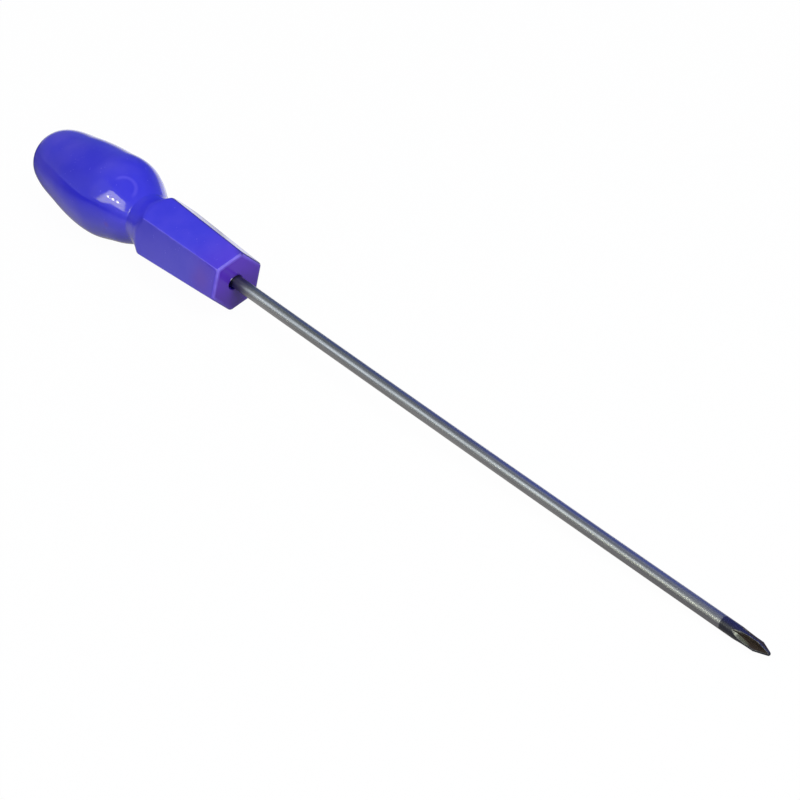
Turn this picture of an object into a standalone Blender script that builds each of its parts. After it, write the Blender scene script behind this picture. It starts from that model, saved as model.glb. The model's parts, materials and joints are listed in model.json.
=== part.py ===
"""A cross-head screwdriver: a moulded handle with a hexagonal neck, and a steel blade pressed into it.

Both pieces are drawn about one axis, local Z, with the handle's front face at Z = 0 and the blade's nose
at +Z. An empty then lays that axis over along +X, so that the tool rests on the ground plane on the bulb
of its handle and on the end of its blade.
"""

import math

import bmesh
import bpy
from mathutils import Matrix, Vector
from mathutils.geometry import interpolate_bezier

MM = 0.001

OBJECT_NAME = "cross_head_screwdriver"

# Blade: a round bar, measured from the handle's front face
SHAFT_RADIUS = 2.25 * MM
BLADE_REACH = 250 * MM
TANG_LENGTH = 58 * MM
TANG_CHAMFER = 0.6 * MM

# Cross tip: a cone at the nose and four V-shaped flutes that run out on the shaft
NOSE_LENGTH = 5.2 * MM
NOSE_RADIUS = 0.5 * MM
FLUTE_COUNT = 4
FLUTE_LENGTH = 13 * MM
FLUTE_ROOT_RADIUS = 0.55 * MM
FLUTE_WIDTH = 6 * MM
TIP_ROLL = math.radians(20.7)

# Wings swaged out of the tang, which stop the blade from turning in the handle
WING_SPAN = 6.2 * MM
WING_THICKNESS = 1.5 * MM
WING_LENGTH = 10 * MM
WING_DEPTH = 22 * MM
WING_EDGE = 0.3 * MM

# Handle: knots of the turned outline, from the groove behind the neck to the rear end,
# as (distance behind the front face, radius, heading in degrees from the axis)
BULB_KNOTS = (
    (47.3 * MM, 9.4 * MM, 0.0),
    (58.0 * MM, 12.1 * MM, 20.5),
    (70.8 * MM, 15.3 * MM, 0.0),
    (90.0 * MM, 13.7 * MM, -10.5),
    (105.0 * MM, 10.5 * MM, -23.0),
    (112.0 * MM, 0.0, -90.0),
)
SPAN_POINTS = 7

# Hexagonal neck: it widens towards the rear, and the groove's flare cuts its rear end round
NECK_SIDES = 6
NECK_LENGTH = 39.5 * MM
NECK_FRONT_CORNER = 9.87 * MM
NECK_REAR_CORNER = 12.65 * MM
NECK_CORNER_SHARE = 0.985
FLARE_HEADING = 33.0

# Socket in the handle: an oval mouth, a round bore and a slot for the wings
MOUTH_HALF_LENGTH = 3.5 * MM
MOUTH_HALF_WIDTH = 2.8 * MM
MOUTH_DEPTH = 8 * MM
CLEARANCE = 0.3 * MM
OVERSHOOT = 3 * MM

# How the tool lies: the turn of the wings from straight down, seen from the rear
TOOL_ROLL = math.radians(77.3)

TURN_STEPS = 48
SMOOTH_ANGLE = math.radians(30)

HANDLE_COLOUR = (0.045, 0.036, 0.62, 1.0)
STEEL_COLOUR = (0.32, 0.33, 0.34, 1.0)


def clear_scene():
    for obj in list(bpy.data.objects):
        bpy.data.objects.remove(obj, do_unlink=True)


def new_collection(name):
    collection = bpy.data.collections.new(name)
    bpy.context.scene.collection.children.link(collection)
    return collection


def new_material(name, colour, roughness, metallic):
    material = bpy.data.materials.new(name)
    material.use_nodes = True
    shader = material.node_tree.nodes["Principled BSDF"]
    shader.inputs["Base Color"].default_value = colour
    shader.inputs["Roughness"].default_value = roughness
    shader.inputs["Metallic"].default_value = metallic
    material.diffuse_color = colour
    return material


def arc_reach(chord, turn):
    """Length of the Bezier handles that carry a curve round like an arc."""
    return chord / 3 if turn < 1e-3 else chord * 2 * math.tan(turn / 4) / (3 * math.sin(turn / 2))


def curve_through(knots):
    """Points (distance behind the front face, radius) of a smooth outline through the knots."""
    points = []
    for (depth, radius, heading), (next_depth, next_radius, next_heading) in zip(knots, knots[1:]):
        start = Vector((depth, radius))
        end = Vector((next_depth, next_radius))
        leave, arrive = math.radians(heading), math.radians(next_heading)
        reach = arc_reach((end - start).length, abs(arrive - leave))
        start_handle = start + reach * Vector((math.cos(leave), math.sin(leave)))
        end_handle = end - reach * Vector((math.cos(arrive), math.sin(arrive)))
        points += interpolate_bezier(start, start_handle, end_handle, end, SPAN_POINTS)[:-1]
    points.append(Vector((knots[-1][0], knots[-1][1])))
    return [(point.x, point.y) for point in points]


def handle_outline():
    """The turned blank of the handle, from the front face to the rear end."""
    front = NECK_CORNER_SHARE * NECK_FRONT_CORNER
    rear = NECK_CORNER_SHARE * NECK_REAR_CORNER
    groove_depth, groove_radius, _ = BULB_KNOTS[0]
    flare = curve_through(((NECK_LENGTH, rear, -FLARE_HEADING), (groove_depth, groove_radius, 0.0)))
    return [(0.0, 0.0), (0.0, front)] + flare[:-1] + curve_through(BULB_KNOTS)


def blade_outline():
    """The turned bar, as (distance behind the front face, radius), from the nose to the tang's end."""
    return [
        (-BLADE_REACH, 0.0),
        (-BLADE_REACH, NOSE_RADIUS),
        (NOSE_LENGTH - BLADE_REACH, SHAFT_RADIUS),
        (TANG_LENGTH - TANG_CHAMFER, SHAFT_RADIUS),
        (TANG_LENGTH, SHAFT_RADIUS - TANG_CHAMFER),
        (TANG_LENGTH, 0.0),
    ]


def resting_pose():
    """Tilt below level at which the bulb and the end of the blade both touch the ground, and the place of
    the front face's centre with the bounding box centred over the origin."""
    touch = BLADE_REACH - NOSE_LENGTH
    outline = handle_outline()
    tilt = max(math.atan2(radius - SHAFT_RADIUS, touch + depth) for depth, radius in outline)
    height = touch * math.sin(tilt) + SHAFT_RADIUS * math.cos(tilt)
    rear = min(-depth * math.cos(tilt) - radius * math.sin(tilt) for depth, radius in outline)
    nose = BLADE_REACH * math.cos(tilt) + NOSE_RADIUS * math.sin(tilt)
    return tilt, Vector((-(rear + nose) / 2, 0, height))


def tool_axis(parts):
    """The empty that lays the tool over from standing on its axis to lying on the ground."""
    tilt, place = resting_pose()
    axis = bpy.data.objects.new("tool_axis", None)
    axis.empty_display_size = BLADE_REACH / 5
    axis.rotation_mode = "ZYX"
    axis.rotation_euler = (0, math.pi / 2 + tilt, TOOL_ROLL)
    axis.location = place
    parts.objects.link(axis)
    return axis


def turned(name, outline, collection, axis):
    """An object turned about the tool's axis from an outline that runs from its front end to its rear."""
    mesh = bpy.data.meshes.new(name)
    points = [(radius, 0, -depth) for depth, radius in outline]
    mesh.from_pydata(points, [(i, i + 1) for i in range(len(points) - 1)], [])
    obj = bpy.data.objects.new(name, mesh)
    collection.objects.link(obj)
    obj.parent = axis
    screw = obj.modifiers.new("Turn", "SCREW")
    screw.axis = "Z"
    screw.angle = 2 * math.pi
    screw.steps = TURN_STEPS
    screw.render_steps = TURN_STEPS
    screw.use_merge_vertices = True
    screw.merge_threshold = 0.00001
    return obj


def tool_mesh(name, build, collection, axis, place=Matrix.Identity(4)):
    """A hidden mesh that cuts or joins a part: build(bm) draws it in its own space."""
    mesh = bpy.data.meshes.new(name)
    bm = bmesh.new()
    build(bm)
    bm.to_mesh(mesh)
    bm.free()
    obj = bpy.data.objects.new(name, mesh)
    collection.objects.link(obj)
    obj.parent = axis
    obj.matrix_basis = place
    obj.hide_render = True
    obj.display_type = "WIRE"
    return obj


def box(low, high):
    """A builder for a box between two corners."""
    low, high = Vector(low), Vector(high)

    def build(bm):
        shape = Matrix.Translation((low + high) / 2) @ Matrix.Diagonal(high - low).to_4x4()
        bmesh.ops.create_cube(bm, size=1, matrix=shape)

    return build


def oval_cylinder(half_length, half_width, low, high):
    """A builder for a cylinder of oval section, long along X, between two heights."""

    def build(bm):
        shape = Matrix.Translation((0, 0, (low + high) / 2)) @ Matrix.Diagonal((half_length, half_width, 1, 1))
        bmesh.ops.create_cone(
            bm, cap_ends=True, segments=TURN_STEPS, radius1=1, radius2=1, depth=high - low, matrix=shape
        )

    return build


def add_boolean(obj, operation, other):
    modifier = obj.modifiers.new(other.name, "BOOLEAN")
    modifier.operation = operation
    modifier.object = other


def leaning_out(roll, radius, front, lean):
    """Place of a cutter turned to roll about the axis, whose inner side leaves the axis towards the rear."""
    return (
        Matrix.Rotation(roll, 4, "Z")
        @ Matrix.Translation((radius, 0, front))
        @ Matrix.Rotation(-lean, 4, "Y")
    )


def cut_neck_flats(handle, cutters, axis):
    front = NECK_FRONT_CORNER * math.cos(math.pi / NECK_SIDES)
    rear = NECK_REAR_CORNER * math.cos(math.pi / NECK_SIDES)
    lean = math.atan2(rear - front, NECK_LENGTH)
    groove_depth = BULB_KNOTS[0][0]
    slab = box((0, -NECK_REAR_CORNER, -groove_depth), (NECK_REAR_CORNER, NECK_REAR_CORNER, OVERSHOOT))
    for side in range(NECK_SIDES):
        place = leaning_out(2 * math.pi * side / NECK_SIDES, front, 0, lean)
        add_boolean(handle, "DIFFERENCE", tool_mesh(f"neck_flat_{side + 1}", slab, cutters, axis, place))


def cut_socket(handle, cutters, axis):
    bore_radius = SHAFT_RADIUS + CLEARANCE
    slot_end = WING_DEPTH + WING_LENGTH + CLEARANCE
    half_span = WING_SPAN / 2 + CLEARANCE
    half_thickness = WING_THICKNESS / 2 + CLEARANCE
    shapes = {
        "socket_mouth": oval_cylinder(MOUTH_HALF_LENGTH, MOUTH_HALF_WIDTH, -MOUTH_DEPTH, OVERSHOOT),
        "socket_bore": oval_cylinder(bore_radius, bore_radius, -TANG_LENGTH - CLEARANCE, OVERSHOOT),
        "socket_slot": box((-half_span, -half_thickness, -slot_end), (half_span, half_thickness, OVERSHOOT)),
    }
    for name, build in shapes.items():
        add_boolean(handle, "DIFFERENCE", tool_mesh(name, build, cutters, axis))


def add_wings(blade, cutters, axis):
    plate = box(
        (-WING_SPAN / 2, -WING_THICKNESS / 2, -WING_DEPTH - WING_LENGTH),
        (WING_SPAN / 2, WING_THICKNESS / 2, -WING_DEPTH),
    )
    wings = tool_mesh("tang_wings", plate, cutters, axis)
    bevel = wings.modifiers.new("Soft edges", "BEVEL")
    bevel.width = WING_EDGE
    bevel.segments = 1
    add_boolean(blade, "UNION", wings)


def cut_flutes(blade, cutters, axis):
    lean = math.atan2(SHAFT_RADIUS - FLUTE_ROOT_RADIUS, FLUTE_LENGTH)
    wedge = box((0, 0, -2 * FLUTE_LENGTH), (FLUTE_WIDTH, FLUTE_WIDTH, OVERSHOOT))
    edge_inwards = Matrix.Rotation(-math.pi / 4, 4, "Z")
    for flute in range(FLUTE_COUNT):
        roll = TIP_ROLL + 2 * math.pi * (flute + 0.5) / FLUTE_COUNT
        place = leaning_out(roll, FLUTE_ROOT_RADIUS, BLADE_REACH, lean) @ edge_inwards
        add_boolean(blade, "DIFFERENCE", tool_mesh(f"flute_{flute + 1}", wedge, cutters, axis, place))


def finish(obj, material):
    """Turn the modifiers into a mesh, shaded smooth with its real edges kept sharp."""
    graph = bpy.context.evaluated_depsgraph_get()
    mesh = bpy.data.meshes.new_from_object(obj.evaluated_get(graph))
    obj.modifiers.clear()
    obj.data = mesh
    mesh.name = obj.name
    mesh.materials.clear()
    mesh.materials.append(material)
    mesh.shade_smooth()
    mesh.set_sharp_from_angle(angle=SMOOTH_ANGLE)


def main():
    clear_scene()
    parts = new_collection(OBJECT_NAME)
    cutters = new_collection("cutters")
    axis = tool_axis(parts)

    handle = turned("handle", handle_outline(), parts, axis)
    cut_neck_flats(handle, cutters, axis)
    cut_socket(handle, cutters, axis)

    blade = turned("blade", blade_outline(), parts, axis)
    add_wings(blade, cutters, axis)
    cut_flutes(blade, cutters, axis)

    bpy.context.view_layer.update()
    finish(handle, new_material("handle_plastic", HANDLE_COLOUR, 0.2, 0.0))
    finish(blade, new_material("blade_steel", STEEL_COLOUR, 0.35, 1.0))


main()
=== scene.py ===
"""Dresses the cross-head screwdriver: a moulded handle with a hexagonal neck, and a steel blade
with a black tip."""

import json
import math
from functools import partialmethod

import bpy
import numpy as np
from bpy.props import FloatProperty, FloatVectorProperty, PointerProperty
from bpy.types import Operator, Panel, PropertyGroup
from mathutils import Matrix, Vector
from mathutils.geometry import interpolate_bezier


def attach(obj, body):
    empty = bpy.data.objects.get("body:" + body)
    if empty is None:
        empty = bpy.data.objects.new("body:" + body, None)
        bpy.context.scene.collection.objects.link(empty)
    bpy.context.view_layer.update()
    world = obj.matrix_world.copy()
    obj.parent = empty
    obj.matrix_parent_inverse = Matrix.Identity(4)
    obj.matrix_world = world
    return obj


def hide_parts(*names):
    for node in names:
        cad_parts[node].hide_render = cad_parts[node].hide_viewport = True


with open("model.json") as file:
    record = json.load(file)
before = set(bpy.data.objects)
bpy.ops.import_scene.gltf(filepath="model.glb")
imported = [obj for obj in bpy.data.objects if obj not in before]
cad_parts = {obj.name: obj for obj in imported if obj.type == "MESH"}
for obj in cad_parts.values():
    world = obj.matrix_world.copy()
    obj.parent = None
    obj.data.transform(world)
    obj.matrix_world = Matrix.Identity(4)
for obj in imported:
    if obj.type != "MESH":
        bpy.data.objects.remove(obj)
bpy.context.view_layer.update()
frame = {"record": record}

bl_info = {
    "name": "Cross-head screwdriver",
    "version": (1, 0, 0),
    "blender": (4, 5, 0),
    "location": "View3D > Sidebar > Screwdriver",
    "description": "Models and finishes a cross-head screwdriver over its packed solids",
    "category": "Mesh",
}

MM = 0.001
BODY = "root"
MOUNTS = {mount["name"]: mount for mount in frame["record"]["mounts"]}

# Knots of the turned handle behind the neck: depth behind the front face, radius, heading in degrees
BULB_KNOTS = (
    (50.9 * MM, 9.15 * MM, 0.0),
    (51.3 * MM, 9.27 * MM, 30.0),
    (61.0 * MM, 13.68 * MM, 17.5),
    (70.8 * MM, 15.5 * MM, 0.0),
    (90.0 * MM, 13.8 * MM, -10.5),
    (104.5 * MM, 10.6 * MM, -23.0),
    (110.9 * MM, 0.0, -90.0),
)


class HandleSettings(PropertyGroup):
    """Sizes and colours of the moulded handle"""

    neck_length: FloatProperty(
        name="Neck length", description="Length of the hexagonal neck", default=40.2 * MM, unit="LENGTH"
    )
    neck_front: FloatProperty(
        name="Neck front", description="Corner radius at the front face", default=10.7 * MM, unit="LENGTH"
    )
    neck_rear: FloatProperty(
        name="Neck rear", description="Corner radius at the rear end", default=12.85 * MM, unit="LENGTH"
    )
    flare_heading: FloatProperty(
        name="Flare", description="Slope that ends the neck", default=math.radians(33), subtype="ANGLE"
    )
    edge_round: FloatProperty(
        name="Edge round", description="Radius on the neck's long edges", default=0.5 * MM, unit="LENGTH"
    )
    front_round: FloatProperty(
        name="Front round", description="Radius round the front face", default=0.85 * MM, unit="LENGTH"
    )
    corner_round: FloatProperty(
        name="Corner round", description="Radius on the six front corners",
        default=1.7 * MM, unit="LENGTH",
    )
    mouth_length: FloatProperty(
        name="Mouth length", description="Reach of the mouth on its worn side",
        default=3.4 * MM, unit="LENGTH",
    )
    mouth_width: FloatProperty(
        name="Mouth width", description="Radius of the mouth elsewhere", default=2.37 * MM, unit="LENGTH"
    )
    colour: FloatVectorProperty(
        name="Plastic", description="Colour of the plastic",
        default=(0.0203, 0.0187, 0.568), subtype="COLOR",
    )
    front_colour: FloatVectorProperty(
        name="Front face", description="Colour at the front face",
        default=(0.093, 0.028, 0.50), subtype="COLOR",
    )
    # Colour of the edges' wear and painted highlight, also used for the cloud tint
    edge_wear_and_highlight_colour: FloatVectorProperty(
        name="Edges", description="Colour of rubbed edges", default=(0.25, 0.20, 0.96), subtype="COLOR"
    )
    smudge_colour: FloatVectorProperty(
        name="Smudge", description="Colour of hand-worn stains",
        default=(0.085, 0.028, 0.36), subtype="COLOR",
    )
    # Painted glint: a pale spot on the mouth's rim
    glint_colour: FloatVectorProperty(
        name="Glint", description="Colour of the chip at the mouth",
        default=(0.85, 0.83, 0.92), subtype="COLOR",
    )


class BladeSettings(PropertyGroup):
    """Sizes and colours of the steel blade"""

    radius: FloatProperty(
        name="Shaft", description="Radius of the round shaft", default=2.25 * MM, unit="LENGTH"
    )
    reach: FloatProperty(
        name="Reach", description="Length in front of the handle", default=250.2 * MM, unit="LENGTH"
    )
    nose_length: FloatProperty(
        name="Nose length", description="Length of the nose cone", default=4.7 * MM, unit="LENGTH"
    )
    nose_radius: FloatProperty(
        name="Nose radius", description="Radius of the blunt end", default=0.5 * MM, unit="LENGTH"
    )
    flute_length: FloatProperty(
        name="Flutes", description="Length of the milled flutes", default=13.4 * MM, unit="LENGTH"
    )
    flute_root: FloatProperty(
        name="Flute root", description="Flute depth at the nose, from the axis",
        default=0.52 * MM, unit="LENGTH",
    )
    tip_roll: FloatProperty(
        name="Tip roll", description="Turn of the cross from a neck flat",
        default=math.radians(-8), subtype="ANGLE",
    )
    black_length: FloatProperty(
        name="Black tip", description="Length of the blackened end", default=18.5 * MM, unit="LENGTH"
    )
    steel_colour: FloatVectorProperty(
        name="Steel", description="Colour of the drawn steel",
        default=(0.308, 0.318, 0.336), subtype="COLOR",
    )
    # Painted shade: the steel is darker towards its tip
    tip_shade_colour: FloatVectorProperty(
        name="Shaded steel", description="Colour of the steel near its tip",
        default=(0.188, 0.192, 0.214), subtype="COLOR",
    )
    flute_colour: FloatVectorProperty(
        name="Flutes", description="Colour inside the flutes",
        default=(0.026, 0.017, 0.013), subtype="COLOR",
    )
    # Painted light on the flutes' lower walls
    wall_light_colour: FloatVectorProperty(
        name="Lit flute walls", description="Colour of painted light on the milled walls",
        default=(0.076, 0.080, 0.061), subtype="COLOR",
    )
    worn_colour: FloatVectorProperty(
        name="Worn steel", description="Colour of worn edges at the tip",
        default=(0.52, 0.55, 0.44), subtype="COLOR",
    )
    # Painted reflection: the black tip's upper side is bluer
    upper_reflection_colour: FloatVectorProperty(
        name="Upper reflection", description="Colour of the tip's bluer side",
        default=(0.010, 0.012, 0.060), subtype="COLOR",
    )
    black_colour: FloatVectorProperty(
        name="Black finish", description="Colour of the blackened tip",
        default=(0.010, 0.011, 0.021), subtype="COLOR",
    )


class StageSettings(PropertyGroup):
    """Camera, light and floor"""

    camera_offset: FloatVectorProperty(
        name="Camera place",
        description="Camera from the centre of the handle's front face",
        default=(0.75925, -0.53933, 0.51712),
        subtype="TRANSLATION",
    )
    camera_azimuth: FloatProperty(
        name="Azimuth", description="Side the camera looks from",
        default=math.radians(-38.6806), subtype="ANGLE",
    )
    camera_elevation: FloatProperty(
        name="Elevation", description="Height the camera looks from",
        default=math.radians(31.1690), subtype="ANGLE",
    )
    lens: FloatProperty(name="Lens", description="Focal length", default=145.845, unit="CAMERA")
    window_strength: FloatProperty(
        name="Window", description="Brightness of the window on the handle", default=7.6, subtype="UNSIGNED"
    )
    pane_strength: FloatProperty(
        name="Pane", description="Brightness of the window on the blade", default=6.308, subtype="UNSIGNED"
    )
    sky_strength: FloatProperty(
        name="Sky", description="Brightness of the soft light overhead", default=3.55, subtype="UNSIGNED"
    )
    strip_strength: FloatProperty(
        name="Strip", description="Brightness of the strip on the blade", default=2.27, subtype="UNSIGNED"
    )
    floor_size: FloatProperty(name="Floor", description="Side of the floor", default=6.0, unit="LENGTH")
    floor_colour: FloatVectorProperty(
        name="Floor colour", description="Colour of the pale floor",
        default=(0.48, 0.48, 0.48), subtype="COLOR",
    )


def tool_pose():
    """The tool's own space in the frame: Z along the blade from the handle's front face, X out of a flat
    of the neck."""
    along = Vector(MOUNTS["rack_seat"]["axis"]).normalized()
    seat = Vector(MOUNTS["rack_seat"]["pos_m"])
    upper = Vector(MOUNTS["neck_flat_upper"]["pos_m"])
    lower = Vector(MOUNTS["neck_flat_lower"]["pos_m"])
    middle = (upper + lower) / 2
    centre = middle + along * (seat - middle).dot(along)
    out = upper - lower
    out = (out - along * out.dot(along)).normalized()
    pose = Matrix((out, along.cross(out), along)).transposed().to_4x4()
    pose.translation = centre
    return pose


POSE = tool_pose()
AXIS = POSE.to_3x3() @ Vector((0, 0, 1))

# Side of the tool, counted from a flat of the neck, to which both pieces lean a little
UPPER_SIDE = math.radians(-64)
MERGE_DISTANCE = 0.002 * MM
TINY = 0.001 * MM
NEARLY_STRAIGHT = 1e-3


def on_axis(distance):
    """The point at a distance in front of the handle's front face."""
    return POSE @ Vector((0, 0, distance))


def arc_reach(chord, turn):
    """Length of the Bezier handles that carry a curve round like an arc."""
    if turn < NEARLY_STRAIGHT:
        return chord / 3
    return chord * 2 * math.tan(turn / 4) / (3 * math.sin(turn / 2))


def curve_through(knots, count):
    """Smooth points (depth, radius) through the knots, count to each span, without the last knot."""
    points = []
    for (depth, radius, heading), (next_depth, next_radius, next_heading) in zip(knots, knots[1:]):
        start, end = Vector((depth, radius)), Vector((next_depth, next_radius))
        leave, arrive = math.radians(heading), math.radians(next_heading)
        reach = arc_reach((end - start).length, abs(arrive - leave))
        start_handle = start + reach * Vector((math.cos(leave), math.sin(leave)))
        end_handle = end - reach * Vector((math.cos(arrive), math.sin(arrive)))
        points += interpolate_bezier(start, start_handle, end_handle, end, count + 1)[:-1]
    return [tuple(point) for point in points]


def line(start, end, count):
    """Evenly spaced points from start to end, without the end."""
    return [tuple(Vector(start).lerp(Vector(end), step / count)) for step in range(count)]


def spin_outline(name, outline, steps):
    """Draws the outline by pulling one vertex along it, and turns it about Z."""
    bpy.ops.object.select_all(action="DESELECT")
    bpy.ops.mesh.primitive_plane_add(size=MM)
    obj = bpy.context.object
    obj.name = name
    obj.data.name = name
    bpy.ops.object.mode_set(mode="EDIT")
    bpy.ops.mesh.select_all(action="SELECT")
    bpy.ops.mesh.merge(type="CENTER")
    places = [Vector((radius, 0, -depth)) for depth, radius in outline]
    bpy.ops.transform.translate(value=places[0])
    for here, there in zip(places, places[1:]):
        bpy.ops.mesh.extrude_region_move(TRANSFORM_OT_translate={"value": there - here})
    bpy.ops.mesh.select_all(action="SELECT")
    bpy.ops.mesh.spin(steps=steps, angle=2 * math.pi, center=(0, 0, 0), axis=(0, 0, 1))
    bpy.ops.mesh.select_all(action="SELECT")
    bpy.ops.mesh.remove_doubles(threshold=MERGE_DISTANCE)
    bpy.ops.mesh.normals_make_consistent(inside=False)
    bpy.ops.object.mode_set(mode="OBJECT")
    return obj


def cylinder_coordinates(mesh):
    """Radius, angle and depth behind the front face of every vertex."""
    places = np.empty(len(mesh.vertices) * 3)
    mesh.vertices.foreach_get("co", places)
    x, y, z = places.reshape(-1, 3).T
    return np.hypot(x, y), np.arctan2(y, x), -z


def place_vertices(mesh, x, y, depth, side, lean):
    """Moves the vertices to x, which points to the given side, and y, and leans them to the upper side."""
    out = x * math.cos(side) - y * math.sin(side) + lean * math.cos(UPPER_SIDE)
    across = x * math.sin(side) + y * math.cos(side) + lean * math.sin(UPPER_SIDE)
    mesh.vertices.foreach_set("co", np.stack([out, across, -depth], axis=1).ravel())
    mesh.update()


def store_mask(mesh, name, values):
    """Keeps a value from 0 to 1 on each vertex, for the piece's material."""
    layer = mesh.attributes.new(name, "FLOAT", "POINT")
    layer.data.foreach_set("value", np.clip(values, 0, 1).astype(np.float32))


def soft_min(a, b, width):
    """The smaller of two radii, rounded where they cross."""
    share = np.clip(0.5 + (b - a) / (2 * width), 0, 1)
    return b + (a - b) * share - width * share * (1 - share)


def smooth_step(low, high, values):
    """Rises smoothly from 0 at low to 1 at high."""
    share = np.clip((values - low) / (high - low), 0, 1)
    return share * share * (3 - 2 * share)


def bell(values, middle, width):
    """1 at the middle, falling off to both sides."""
    return np.exp(-(((values - middle) / width) ** 2))


def finish_piece(obj, node, material, sharp):
    """Shades the piece, sets it in the frame and lets it stand for its solid."""
    if not obj.data.polygons:
        raise RuntimeError(f"{obj.name} has no faces")
    obj.data.materials.clear()
    obj.data.materials.append(material)
    obj.matrix_world = POSE
    bpy.ops.object.select_all(action="DESELECT")
    obj.select_set(True)
    bpy.context.view_layer.objects.active = obj
    bpy.ops.object.transform_apply(location=True, rotation=True, scale=True)
    bpy.ops.object.shade_smooth_by_angle(angle=sharp)
    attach(obj, BODY)
    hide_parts(node)


# Handle

HANDLE_PIECE = "handle_body"
HANDLE_STEPS = 288
HANDLE_SHARP = math.radians(40)
NECK_SIDES = 6
SECTOR = 2 * math.pi / NECK_SIDES
FLAT_SHARE = math.cos(SECTOR / 2)
BLANK_SPARE = 1.5 * MM
FRONT_ROUND_STEPS = 8
CORNER_CROWDING = 0.75
CORNER_FADE = 4 * MM
INSET_ROUNDING = 0.7
FLARE_BLEND = 0.8 * MM
FLARE_PRESSED = (-0.2 * MM, 0.6 * MM)
GROOVE_HEADING = -7.0
MOUTH_EDGE = 0.25 * MM
MOUTH_EDGE_TURNS = (0.4, 0.8, 1.2)
MOUTH_DEPTH = 8 * MM
MOUTH_WORN_SIDE = math.radians(92)
BORE_RADIUS = 2.3 * MM
BORE_DEPTH = 58.3 * MM

# How far the bulb leans to the upper side, at which depth, and over which length
SHOULDER_LEAN, SHOULDER_PLACE = 0.95 * MM, (63.5 * MM, 7.5 * MM)
REAR_LEAN, REAR_PLACE = -0.4 * MM, (109 * MM, 4 * MM)

# Sides of the neck, counted from a flat, the wear and painted highlight on its edges, and the painted shade
# on its far edges, with widths in radii of the edge
NEAR_RIDGE = math.radians(30)
NEAR_FLAT = math.radians(60)
FAR_RIDGE = math.radians(-30)
FAR_SIDE = math.radians(-90)
WORN_AND_LIT_RIM_SIDE = math.radians(20)
RIDGE_WEAR_AND_HIGHLIGHT, RIDGE_WIDTH = 0.22, 0.65
FAR_RIDGE_WIDTH = 0.8
RIM_WEAR_AND_HIGHLIGHT, RIM_MIDDLE, RIM_WIDTH = 0.58, 0.7, 0.3
RIM_GROUND = 0.28
FACE_RIM_WEAR_AND_HIGHLIGHT = 0.5
LEAST_RIM_WEAR_AND_HIGHLIGHT = 0.15
FAR_RIM_SHARE = 0.8


def neck_corner(handle, depth):
    """Radius of the neck's corners at a depth behind the front face."""
    return handle.neck_front + (handle.neck_rear - handle.neck_front) / handle.neck_length * depth


def blank_rim_depth(handle):
    """Depth at which the flare, carried on forwards, reaches the outside of the blank."""
    return handle.neck_length - BLANK_SPARE / math.tan(handle.flare_heading)


def handle_outline(handle):
    """The turned blank from the rear end to the bottom of the socket. Its neck is left too thick on purpose,
    because the flats are pressed out of it afterwards."""

    def blank(depth):
        return depth, neck_corner(handle, depth) + BLANK_SPARE

    front, mouth = handle.front_round, handle.mouth_width
    groove, rear_end = BULB_KNOTS[0][:2], BULB_KNOTS[-1][:2]
    rim = (handle.neck_length, handle.neck_rear)
    blank_rim = (blank_rim_depth(handle), handle.neck_rear + BLANK_SPARE)
    bulb = curve_through(BULB_KNOTS, count=22)[::-1]
    rim_knot = (*rim, -math.degrees(handle.flare_heading))
    flare = curve_through((rim_knot, (*groove, GROOVE_HEADING)), count=44)[::-1]

    points = [rear_end, *bulb[:-1], groove, *flare[:-1]]
    points += line(rim, blank_rim, count=12)
    points += line(blank(blank_rim[0]), blank(front), count=14)
    for step in range(FRONT_ROUND_STEPS):
        turn = math.pi / 2 * step / FRONT_ROUND_STEPS
        depth, radius = blank(front * (1 - math.sin(turn)))
        points.append((depth, radius - front * (1 - math.cos(turn))))
    points += line((0, blank(0)[1] - front), (0, mouth + MOUTH_EDGE), count=8)
    for turn in MOUTH_EDGE_TURNS:
        points.append((MOUTH_EDGE * (1 - math.cos(turn)), mouth + MOUTH_EDGE * (1 - math.sin(turn))))
    points += line((MOUTH_EDGE, mouth), (MOUTH_DEPTH, mouth), count=3)
    points += [(MOUTH_DEPTH, mouth), (MOUTH_DEPTH, BORE_RADIUS)]
    points += [(BORE_DEPTH, BORE_RADIUS), (BORE_DEPTH, 0)]
    return points


def crowd_corners(angle):
    """Moves the vertices of a ring towards the six corners, where the curve is tight."""
    whole = np.floor(angle / SECTOR)
    part = angle / SECTOR - whole - 0.5
    part = part * (1 - CORNER_CROWDING) + 4 * CORNER_CROWDING * part**3
    return (whole + part + 0.5) * SECTOR


def hexagon_radius(angle, flat, edge):
    """Radius of a hexagon with rounded corners, at each angle, from the distance of its flats."""
    off_flat = np.abs((angle + SECTOR / 2) % SECTOR - SECTOR / 2)
    off_corner = SECTOR / 2 - off_flat
    arc_centre = (flat - edge) / FLAT_SHARE
    across = np.clip(edge**2 - (arc_centre * np.sin(off_corner)) ** 2, 0, None)
    on_arc = arc_centre * np.cos(off_corner) + np.sqrt(across)
    arc_starts = np.arctan2(arc_centre * math.sin(SECTOR / 2), flat)
    return np.where(off_flat > arc_starts, on_arc, flat / np.cos(off_flat))


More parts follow.
